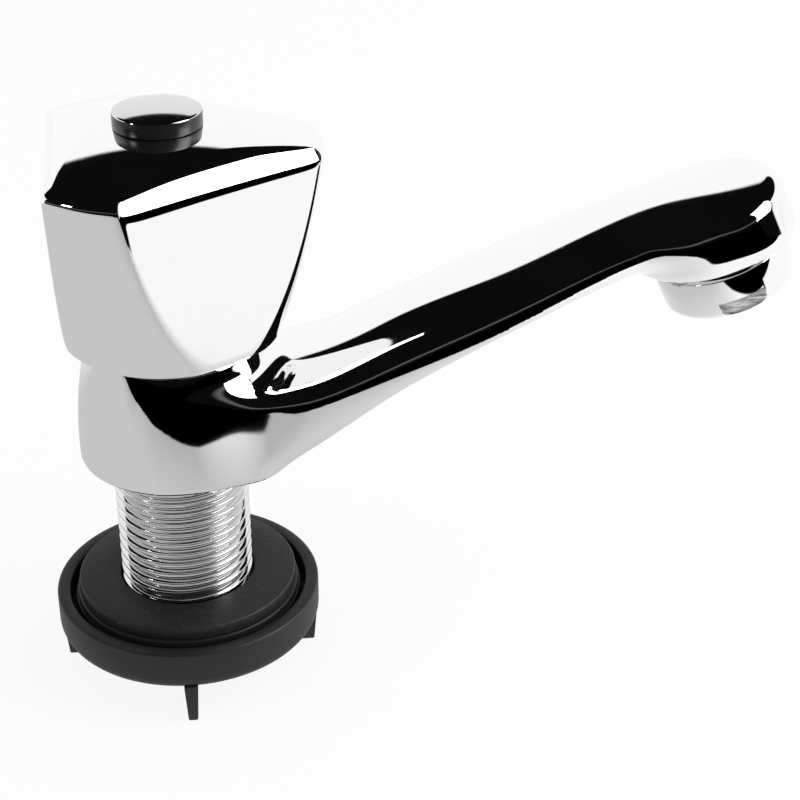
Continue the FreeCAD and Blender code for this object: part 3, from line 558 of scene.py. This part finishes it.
handle = {
    "bottom": 20.4, "footRadius": 16.2, "footEdge": 1.2, "rimRadius": 23.66, "rim": 49.8, "apex": 53.1,
    "flareRadius": 140.0, "facetFoot": 15.85, "facetRim": 16.5, "turn": 2.0, "edgeBlend": 0.65, "wall": 1.8,
    # size of the roll over a face's middle and over a corner, how full the run between them is, and the
    # length of the curve's handles that makes a quarter round
    "rollMiddle": 4.2, "rollCorner": 1.3, "rollFullness": 0.7, "quarterRound": 0.5523,
    "faceSteps": 48, "cornerSteps": 30, "domeSteps": 26, "rollSteps": 14, "sideSteps": 44,
    "hub": 7.6, "hubFoot": 40.6, "hubGap": 0.9, "socket": 5.75, "recess": 5.7, "screwHole": 2.2,
    "webTop": 50.5, "webFoot": 47.6,
}


def flareAt(h, z):  # radius of the round form at a height
    foot, rim = (h["footRadius"], h["bottom"]), (h["rimRadius"], h["rim"])
    across, up = rim[0] - foot[0], rim[1] - foot[1]
    length = hypot(across, up)
    out = (up / length, -across / length)
    reach = sqrt(h["flareRadius"] ** 2 - length ** 2 / 4)
    middle = ((foot[0] + rim[0]) / 2 - out[0] * reach, (foot[1] + rim[1]) / 2 - out[1] * reach)
    return middle[0] + sqrt(h["flareRadius"] ** 2 - (z - middle[1]) ** 2)


def faceAt(h, z):  # distance of the flat faces from the axis at a height
    return h["facetFoot"] + (h["facetRim"] - h["facetFoot"]) * (z - h["bottom"]) / (h["rim"] - h["bottom"])


def handleSection(h, place, wall):
    # place runs from 0 to 1 over a face and on to 2 over a corner; at gives azimuth and radius at a height
    third = 2 * pi / 3

    def at(z):
        flare, face = flareAt(h, z) - wall, faceAt(h, z) - wall
        half = acos(min(1, face / flare))
        if place <= 1:
            azimuth = half * sin((2 * place - 1) * pi / 2)
        else:
            azimuth = half + (third - 2 * half) * (place - 1)
        off = azimuth if azimuth < third / 2 else third - azimuth
        return azimuth, float(softLess(face / cos(off), flare, h["edgeBlend"]))

    return at


def handleOutline(h, place, wall):
    # one upright line of the form, from the top's middle out over the rolled edge and down to the foot
    side = handleSection(h, place, wall)
    rise = h["apex"] - h["rim"]
    middle = max(0, 1 - (2 * place - 1) ** 2) if place <= 1 and not wall else 0
    roll = h["rollCorner"] + (h["rollMiddle"] - h["rollCorner"]) * middle ** h["rollFullness"]

    def dome(radius):
        return h["apex"] - wall - rise * (radius / h["rimRadius"]) ** 2

    corner = dome(side(h["rim"])[1])
    azimuth, edge = side(corner)
    start, finish = edge - roll, corner - roll
    lower = side(finish)[1]
    points = []
    for k in range(1, h["domeSteps"] + 1):
        radius = start * k / h["domeSteps"]
        points.append((azimuth, radius, dome(radius)))
    hold = h["quarterRound"]
    across = [start, start + hold * roll, lower + hold * (edge - lower), lower]
    up = [dome(start), dome(start + hold * roll), finish + hold * roll, finish]
    for k in range(1, h["rollSteps"] + 1):
        t = k / h["rollSteps"]
        weights = ((1 - t) ** 3, 3 * (1 - t) ** 2 * t, 3 * (1 - t) * t * t, t ** 3)
        z = sum(w * u for w, u in zip(weights, up))
        points.append((side(z)[0], sum(w * a for w, a in zip(weights, across)), z))
    foot = h["bottom"] - 1 if wall else h["bottom"] + h["footEdge"]
    for k in range(1, h["sideSteps"] + 1):
        z = finish + (foot - finish) * k / h["sideSteps"]
        points.append((*side(z), z))
    if not wall:
        azimuth, radius = side(foot)
        size = h["footEdge"]
        for bend in (pi / 6, pi / 3, pi / 2):
            points.append((azimuth, radius - size * (1 - cos(bend)), foot - size * sin(bend)))
    return points


def handleForm(h, wall=0.0):
    places = [k / h["faceSteps"] for k in range(h["faceSteps"])]
    places += [1 + k / h["cornerSteps"] for k in range(h["cornerSteps"])]
    outlines = [handleOutline(h, place, wall) for place in places]
    rows = 3 * len(places)
    bm = bmesh.new()
    line = [bm.verts.new((10 * mm, 0, k * mm)) for k in range(len(outlines[0]))]
    edges = [bm.edges.new(pair) for pair in zip(line, line[1:])]
    bmesh.ops.spin(bm, geom=line + edges, cent=(0, 0, 0), axis=(0, 0, 1), angle=2 * pi, steps=rows,
                   use_merge=True)
    for v in bm.verts:  # the spun tube is pulled into the handle's shape
        row = round(atan2(v.co.y, v.co.x) / (2 * pi / rows)) % rows
        azimuth, radius, z = outlines[row % len(places)][round(v.co.z / mm)]
        azimuth += radians(60 + 120 * (row // len(places)))
        v.co = Vector((radius * cos(azimuth), radius * sin(azimuth), z)) * mm
    bmesh.ops.holes_fill(bm, edges=[edge for edge in bm.edges if edge.is_boundary])
    bmesh.ops.recalc_face_normals(bm, faces=bm.faces)
    return bm


def hexagonalBar(half, low, high):  # half is the distance of its flats from the axis
    bm = bmesh.new()
    corner = half / cos(pi / 6) * mm
    bmesh.ops.create_cone(bm, cap_ends=True, segments=6, radius1=corner, radius2=corner,
                          depth=(high - low) * mm)
    bmesh.ops.translate(bm, vec=(0, 0, (low + high) / 2 * mm), verts=bm.verts)
    return bm


def roundBar(radius, low, high, steps):
    return lathe([(0, low), (radius, low), (radius, high), (0, high)], steps)


def handlePiece(h):
    shell = carved(handleForm(h), "DIFFERENCE", handleForm(h, h["wall"]))
    hub = roundBar(h["hub"], h["hubFoot"], h["apex"] - h["hubGap"], 64)
    whole = carved(shell, "UNION", hub)
    recess = roundBar(h["recess"], h["webTop"], h["apex"] + 1, 64)
    hole = roundBar(h["screwHole"], h["webFoot"] - 1, h["webTop"] + 1, 32)
    socket = hexagonalBar(h["socket"], h["hubFoot"] - 1, h["webFoot"])
    return turned(carved(whole, "DIFFERENCE", recess, hole, socket), h["turn"])


handleShell = asPiece("handleShell", handlePiece(handle), "turning", ["handle"], polishedChrome, 24)
print("handle:", len(handleShell.data.polygons), "faces")


# Cap on the handle: a plated top on a black side, with a skirt that plugs into the handle

cap = {"radius": 6.45, "seat": 52.95, "side": 2.3, "dome": 0.65, "domeSteps": 14, "roof": 1.1, "skirt": 5.65,
       "skirtLength": 2.0, "wall": 0.8, "edge": 0.25, "seatEdge": 0.15, "plateEdge": 0.15}


def capPiece(c):
    rim, roof, end = c["seat"] + c["side"], c["seat"] + c["roof"], c["seat"] - c["skirtLength"]
    inside = c["skirt"] - c["wall"]
    shares = [1 - k / c["domeSteps"] for k in range(1, c["domeSteps"] + 1)]
    dome = [(c["radius"] * share, rim + c["dome"] * (1 - share ** 2)) for share in shares]
    bm = lathe([(0, roof), (inside, roof), (inside, end), (c["skirt"], end), (c["skirt"], c["seat"]),
                (c["radius"], c["seat"]), (c["radius"], rim)] + dome, 96)
    return roundRings(bm, {(c["radius"], c["seat"]): c["seatEdge"], (c["radius"], rim): c["edge"]})


capChrome = chromeFinish("capChrome", darkBelow=cap["seat"] + cap["side"] - cap["plateEdge"], colour=0.70,
                         roughness=0.05)
capShell = asPiece("capShell", capPiece(cap), "turning", ["index_button"], capChrome, 30)


# Aerator ring, drawn about its own axis and then tilted into the outlet

aerator = {"radius": 10.4, "foot": 10.05, "height": 7.2, "edge": 1.3, "thread": 9.4, "top": 5.3, "bore": 8.2,
           "lip": 7.4, "lipHeight": 1.2, "flat": 9.5, "flatHeight": 2.9, "gap": 0.3, "topEdge": 0.2,
           "lipEdge": 0.3, "cutterWidth": 30, "cutterDepth": 4, "brushedMargin": 0.05}


def aeratorPiece(a):
    foot, gap, ledge = -a["height"], -a["gap"], a["lipHeight"] - a["height"]
    bm = lathe([(a["lip"], foot), (a["foot"], foot), (a["radius"], gap), (a["thread"], gap),
                (a["thread"], a["top"]), (a["bore"], a["top"]), (a["bore"], ledge), (a["lip"], ledge),
                (a["lip"], foot)])
    roundRings(bm, {(a["foot"], foot): a["edge"], (a["radius"], gap): a["topEdge"],
                    (a["lip"], foot): a["lipEdge"]}, segments=5)
    cutters = []
    for side in (1, -1):
        cutter = bmesh.new()
        bmesh.ops.create_cube(cutter, size=1)
        size = Vector((a["cutterWidth"], a["cutterDepth"], 2 * a["flatHeight"]))
        middle = Vector((0, side * (a["flat"] + a["cutterDepth"] / 2), foot))
        bmesh.ops.scale(cutter, vec=size * mm, verts=cutter.verts)
        bmesh.ops.translate(cutter, vec=middle * mm, verts=cutter.verts)
        cutters.append(cutter)
    return tilted(carved(bm, "DIFFERENCE", *cutters), *outletPlace)


brushedTop = aerator["flatHeight"] - aerator["height"] + aerator["brushedMargin"]
aeratorChrome = chromeFinish("aeratorChrome", flats=(aerator["flat"], outletPlace, brushedTop))
aeratorRing = asPiece("aeratorRing", aeratorPiece(aerator), "tap", ["aerator_housing"], aeratorChrome,
                      30)
print("cap and aerator ring ready")


# Threaded tail: a helix cut to length, a plain band above it and the seat inside the body

tail = {"crest": 10.478, "depth": 1.162, "pitch": 1.814, "end": -36.5, "chamferWidth": 0.4, "chamfer": 1.7,
        "steps": 72, "band": 1.4, "runOut": 0.5, "overlap": 0.3, "bandEdge": 0.25, "shoulder": 0.6,
        "shoulderEdge": 0.15, "neck": 8.4, "floor": 4.0, "seatLip": 7.2, "seatTop": 8.0, "seatSlope": 1.2,
        "land": 0.8, "bore": 6.6, "seatBore": 5.5}

# one turn of the thread: share of the pitch, and share of the depth above the root
threadShape = [(0.00, 0.03), (0.12, 0.0), (0.24, 0.06), (0.38, 0.94), (0.44, 1.0), (0.56, 1.0), (0.62, 0.94),
               (0.76, 0.06), (0.88, 0.0), (1.00, 0.03)]


def threadForm(t):  # reaches past both ends of the blank that cuts it to length
    pitch, root = t["pitch"], t["crest"] - t["depth"]
    turns = int((-t["end"] - t["band"]) / pitch) + 3
    start = t["end"] - 1.5 * pitch
    bm = bmesh.new()
    verts = [bm.verts.new(((root + t["depth"] * lift) * mm, 0, (start + pitch * place) * mm))
             for place, lift in threadShape]
    edges = [bm.edges.new(pair) for pair in zip(verts, verts[1:])]
    bmesh.ops.spin(bm, geom=verts + edges, cent=(0, 0, 0), axis=(0, 0, 1), angle=2 * pi * turns,
                   dvec=(0, 0, pitch / t["steps"] * mm), steps=t["steps"] * turns)
    bmesh.ops.remove_doubles(bm, verts=bm.verts, dist=0.004 * mm)
    bmesh.ops.holes_fill(bm, edges=[edge for edge in bm.edges if edge.is_boundary])
    bmesh.ops.recalc_face_normals(bm, faces=bm.faces)
    return bm


def tailPiece(t):
    root, crest, band = t["crest"] - t["depth"], t["crest"], -t["band"]
    wide, top = crest + t["overlap"], band + t["overlap"]
    blank = lathe([(0, t["end"]), (root - t["chamferWidth"], t["end"]), (wide, t["end"] + t["chamfer"]),
                   (wide, top), (0, top)], 96)
    rod = carved(threadForm(t), "INTERSECT", blank)
    low, slope = band - t["runOut"], t["seatTop"] - t["seatSlope"]
    seat = lathe([(0, low), (root, low), (crest, band), (crest, t["shoulder"]), (t["neck"], t["shoulder"]),
                  (t["neck"], t["floor"]), (t["seatLip"], t["floor"]), (t["seatLip"], slope),
                  (t["seatBore"] + t["land"], t["seatTop"]), (0, t["seatTop"])], 96)
    roundRings(seat, {(crest, t["shoulder"]): t["shoulderEdge"], (crest, band): t["bandEdge"]})
    whole = carved(rod, "UNION", seat)
    foot, top = t["end"] - 1, t["seatTop"] + 1
    bore = lathe([(0, foot), (t["bore"], foot), (t["bore"], -1), (t["seatBore"], 0), (t["seatBore"], top),
                  (0, top)], 64)
    return carved(whole, "DIFFERENCE", bore)


tailRod = asPiece("tailRod", tailPiece(tail), "tap", ["threaded_tail"], platedThread, 50)
print("threaded tail:", len(tailRod.data.polygons), "faces")


# Gasket, slip washer and backnut

gasket = {"hole": 10.78, "radius": 17.4, "top": -22.4, "thickness": 2.3, "fall": 0.3, "rimEdge": 0.3,
          "holeEdge": 0.2, "footEdge": 0.25, "slipRadius": 17.8, "slipThickness": 1.2, "slipEdge": 0.2}


def gasketPiece(g):
    foot, rim = g["top"] - g["thickness"], g["top"] - g["fall"]
    bm = lathe([(g["hole"], foot), (g["radius"], foot), (g["radius"], rim), (g["hole"], g["top"]),
                (g["hole"], foot)])
    return roundRings(bm, {(g["radius"], rim): g["rimEdge"], (g["hole"], g["top"]): g["holeEdge"],
                           (g["radius"], foot): g["footEdge"]})


def slipPiece(g):
    top = g["top"] - g["thickness"]
    foot = top - g["slipThickness"]
    bm = lathe([(g["hole"], foot), (g["slipRadius"], foot), (g["slipRadius"], top), (g["hole"], top),
                (g["hole"], foot)])
    return roundRings(bm, {(g["slipRadius"], top): g["slipEdge"], (g["slipRadius"], foot): g["slipEdge"]})


deckGasket = asPiece("deckGasket", gasketPiece(gasket), "washers", ["deck_gasket"], gasketRubber,
                     30)
slipRing = asPiece("slipRing", slipPiece(gasket), "washers", ["slip_washer"], blackPlastic,
                   30)

nut = {"bore": 10.56, "hub": 13.2, "hubEnd": -35.0, "hubEdge": 0.4, "cupFoot": -31.8, "cup": 21.1,
       "cupEdge": 2.4, "rim": -24.8, "rimEdge": 0.35, "inner": 19.0, "innerEdge": 0.3, "grooveDepth": 2.6,
       "slipGap": 0.3, "fins": 4, "finRoot": 2.2, "finEnd": 1.5, "finReach": 20.8, "finLean": 0.6,
       "finFoot": -38.2, "finSunk": 0.6, "finStart": 12.2, "finEdge": 0.25, "turn": -1.0}


def nutFin(n):
    fin = bmesh.new()
    bmesh.ops.create_cube(fin, size=1)
    for v in fin.verts:
        outer, upper = v.co.x > 0, v.co.z > 0
        width = n["finRoot"] if upper else n["finEnd"]
        reach = n["finReach"] if upper else n["finReach"] - n["finLean"]
        z = n["cupFoot"] + n["finSunk"] if upper else n["finFoot"]
        v.co = Vector((reach if outer else n["finStart"], v.co.y * width, z)) * mm
    bmesh.ops.bevel(fin, geom=fin.edges[:], offset=n["finEdge"] * mm, affect="EDGES", segments=2, profile=0.5,
                    material=-1)
    return fin


def nutPiece(n, g):  # a cup that the slip washer lies in, on a hub
    seat = g["top"] - g["thickness"] - g["slipThickness"]
    groove = seat - n["grooveDepth"]
    wall = g["slipRadius"] + n["slipGap"]
    bm = lathe([(n["bore"], n["hubEnd"]), (n["hub"], n["hubEnd"]), (n["hub"], n["cupFoot"]),
                (n["cup"], n["cupFoot"]), (n["cup"], n["rim"]), (n["inner"], n["rim"]), (n["inner"], groove),
                (wall, groove), (wall, seat), (n["bore"], seat), (n["bore"], n["hubEnd"])])
    roundRings(bm, {(n["cup"], n["cupFoot"]): n["cupEdge"]}, segments=8)
    roundRings(bm, {(n["cup"], n["rim"]): n["rimEdge"], (n["inner"], n["rim"]): n["innerEdge"],
                    (n["hub"], n["hubEnd"]): n["hubEdge"]})
    fins = [turned(nutFin(n), 360 * k / n["fins"]) for k in range(n["fins"])]
    return turned(carved(bm, "UNION", merged(fins)), n["turn"])


backNut = asPiece("backNut", nutPiece(nut, gasket), "nut", ["backnut"], blackPlastic, 30)
print("gasket, washer and nut ready")


# Studio: pale floor and backdrop, a large softbox and a small one, and on the camera's side a dark room for
# the metal to reflect; to the metal the floor shows a painted reflection, black in front and greyer at the
# left

studio = {
    "floor": -38.25, "floorSize": 4000, "paint": 0.9, "glow": 0.9, "fill": 0.62, "room": 0.003,
    # the backdrop's top and the strip are elevations in degrees
    "backdropTop": 31.0, "backdropSoft": 1.2, "strip": (5.0, 14.0), "stripLevel": 0.12, "sideSoft": 0.05,
    # front edge of the pale floor as the metal sees it, with a painted black reflection in front of it: lines
    # by their y at x = 0 in mm, and slope
    "frontEdges": [(-182.8, 0.314), (-165.1, 0.421), (-160.0, 0.62)],
    "rightEdges": [(-144.2, 0.237), (-116.5, -0.046)], "edgeSoft": 5.0,
    # painted reflected shade: to the metal the floor is greyer at the left, and more so near that edge, than
    # on the right or far back
    "paintedLeftLevel": 0.6, "levelFrom": 30.0, "levelTo": 110.0, "backFrom": 90.0, "backFull": 160.0,
    "paintedShadeFade": 110.0, "paintedShadeNearShare": 0.75, "lampTarget": (35, 0, 10), "lampDistance": 1.1,
}


def rayKinds(sheet):
    paths = sheet.node("LightPath")
    outputs = paths.socket.node.outputs
    straight = paths.maths("MAXIMUM", Signal(sheet, outputs["Is Transmission Ray"]))
    return straight, Signal(sheet, outputs["Is Glossy Ray"])


def studioFloor(s):
    bm = bmesh.new()
    bmesh.ops.create_grid(bm, x_segments=2, y_segments=2, size=s["floorSize"] / 2 * mm)
    bmesh.ops.translate(bm, vec=(0, 0, s["floor"] * mm), verts=bm.verts)
    mesh = bpy.data.meshes.new("studioFloor")
    bm.to_mesh(mesh)
    bm.free()
    floor = bpy.data.objects.new("studioFloor", mesh)
    bpy.context.scene.collection.objects.link(floor)
    material, sheet = newMaterial("paleFloorPaintedReflection")
    straight, glossy = rayKinds(sheet)
    x, y, z = sheet.axes(sheet.place())
    edge, *others = [x * slope + start * mm for start, slope in s["frontEdges"]]
    for line in others:
        edge = edge.maths("MAXIMUM", line)
    for start, slope in s["rightEdges"]:
        edge = edge.maths("MINIMUM", x * slope + start * mm)
    # painted reflection: to glossy rays the floor is black in front of the edge, with painted shade greying
    # it at the left and near that edge; camera rays see it evenly pale
    behind = (y - edge).rising(0, s["edgeSoft"] * mm)
    depth = (y - edge).rising(0, s["paintedShadeFade"] * mm) * (1 - s["paintedShadeNearShare"]) + s["paintedShadeNearShare"]
    back = y.rising(s["backFrom"] * mm, s["backFull"] * mm)
    bright = x.rising(s["levelFrom"] * mm, s["levelTo"] * mm).maths("MAXIMUM", back)
    level = bright + (1 - bright) * depth * s["paintedLeftLevel"]
    tone = 1 - glossy * (1 - behind * level)
    matt = sheet.node("BsdfDiffuse", Color=sheet.blend(tone, shade(0), shade(s["paint"])))
    glow = sheet.node("Emission", Color=sheet.blend(tone, shade(0), shade(1)), Strength=1.0)
    mixed = sheet.node("MixShader", Fac=straight.maths("MAXIMUM", glossy) * s["glow"])
    sheet.feed(mixed.socket.node.inputs[1], matt)
    sheet.feed(mixed.socket.node.inputs[2], glow)
    sheet.node("OutputMaterial", Surface=mixed)
    mesh.materials.append(material)


def studioWorld(s):
    world = bpy.data.worlds.new("studio")
    bpy.context.scene.world = world
    sheet = Sheet(world)
    x, y, z = sheet.axes(sheet.node("TexCoord", output=0))
    straight, glossy = rayKinds(sheet)
    top = s["backdropTop"]
    backdrop = 1 - z.rising(sin(radians(top)), sin(radians(top + s["backdropSoft"])))
    behind = y.rising(0.0, s["sideSoft"])
    low, high = [sin(radians(angle)) for angle in s["strip"]]
    off = (z - (low + high) / 2).maths("ABSOLUTE")
    strip = (1 - off.rising(0, (high - low) / 2)) * (1 - behind) * s["stripLevel"]
    mirror = (backdrop * behind).maths("MAXIMUM", strip).maths("MAXIMUM", s["room"])
    level = straight.maths("MAXIMUM", glossy * mirror)
    level = level.maths("MAXIMUM", (1 - glossy) * s["fill"])
    back = sheet.node("Background", Color=shade(1.0), Strength=level)
    sheet.node("OutputWorld", Surface=back)


def softbox(s, name, direction, width, height, power):  # azimuth and elevation, then metres and watts
    lamp = bpy.data.lights.new(name, "AREA")
    lamp.shape = "RECTANGLE"
    lamp.size, lamp.size_y = width, height
    lamp.energy = power
    box = bpy.data.objects.new(name, lamp)
    bpy.context.scene.collection.objects.link(box)
    azimuth, elevation = radians(direction[0]), radians(direction[1])
    out = Vector((cos(azimuth) * cos(elevation), sin(azimuth) * cos(elevation), sin(elevation)))
    box.location = Vector(s["lampTarget"]) * mm + out * s["lampDistance"]
    box.rotation_euler = (-out).to_track_quat("-Z", "Y").to_euler()


studioFloor(studio)
studioWorld(studio)
softbox(studio, "rightSoftbox", direction=(-18, 31), width=0.62, height=1.12, power=9)
softbox(studio, "leftSpot", direction=(-158, 24), width=0.12, height=0.12, power=0.6)
print("studio ready")


# Camera at the photograph's own place

view = {"place": (4.987, -241.807, 141.575), "forward": (0.106470, 0.867125, -0.486579),
        "right": (0.992611, -0.121335, 0.000967), "focal": 1779.0, "picture": 800}


def photoCamera(v):
    lens = bpy.data.cameras.new("photoCamera")
    lens.sensor_fit = "HORIZONTAL"
    lens.sensor_width = 36
    lens.lens = v["focal"] / v["picture"] * lens.sensor_width
    lens.clip_start = 0.01
    eye = bpy.data.objects.new("photoCamera", lens)
    bpy.context.scene.collection.objects.link(eye)
    back = -Vector(v["forward"]).normalized()
    right = Vector(v["right"]).normalized()
    up = back.cross(right)
    turn = Matrix((right, up, back)).transposed().to_4x4()
    eye.matrix_world = Matrix.Translation(Vector(v["place"]) * mm) @ turn
    bpy.context.scene.camera = eye


photoCamera(view)
bpy.context.scene.view_settings.view_transform = "Standard"
print("scene ready")
